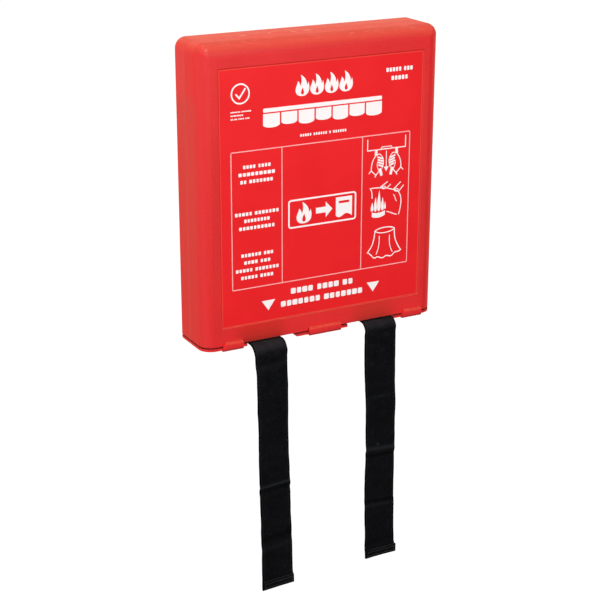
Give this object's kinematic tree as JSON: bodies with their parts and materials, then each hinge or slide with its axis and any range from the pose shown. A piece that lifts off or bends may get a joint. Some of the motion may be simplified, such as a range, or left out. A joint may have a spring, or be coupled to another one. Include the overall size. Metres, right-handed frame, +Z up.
{
  "type": "wall-mounted fire blanket",
  "caption": "Folded fire blanket in a flat red moulded wall case, with webbing pull straps hanging from a hinged, clipped bottom flap.",
  "frame": {"origin": "centre of the case's rear face, the flat face that lies against the wall", "axes": "+Y into the wall, +Z up, +X to the right for somebody facing the case; the straps hang down -Z"},
  "size_m": [0.271, 0.0814, 0.5787],
  "materials": {
    "case_plastic": "satin moulded red plastic",
    "label_film": "printed film with plain white pictograms and bars",
    "glass_cloth": "woven glass-fibre cloth, off-white",
    "webbing": "black twill webbing",
    "thread": "black sewing thread"
  },
  "bodies": {
    "case": {"front_cover": "case_plastic", "back_tray": "case_plastic", "front_label": "label_film"},
    "flap": {"bottom_flap": "case_plastic"},
    "blanket": {"fire_blanket": "glass_cloth", "left_strap_root": "webbing", "right_strap_root": "webbing", "left_strap_stitching": "thread", "right_strap_stitching": "thread"},
    "left_strap": {"left_strap_tail": "webbing", "left_hem_stitching": "thread"},
    "right_strap": {"right_strap_tail": "webbing", "right_hem_stitching": "thread"}
  },
  "joints": [
    {"name": "blanket_pull", "type": "slide", "parent": "case", "child": "blanket", "axis": [0, 0, -1], "range_m": [0, 0.31], "deforming": ["fire_blanket"]},
    {"name": "flap_hinge", "type": "hinge", "parent": "case", "child": "flap", "pos_m": [0, -0.0026, -0.1524], "axis": [1, 0, 0], "range_deg": [0, 90]},
    {"name": "left_strap_swing", "type": "hinge", "parent": "blanket", "child": "left_strap", "pos_m": [-0.0676, -0.0575, -0.16545], "axis": [-1, 0, 0], "range_deg": [-14, 80], "deforming": ["left_strap_root"]},
    {"name": "right_strap_swing", "type": "hinge", "parent": "blanket", "child": "right_strap", "pos_m": [0.0642, -0.0559, -0.16295], "axis": [-1, 0, 0], "range_deg": [-14, 80], "deforming": ["right_strap_root"]}
  ],
  "couplings": [
    {"joint": "flap_hinge", "follows": "blanket_pull", "rad_per_m": 5.06}
  ]
}
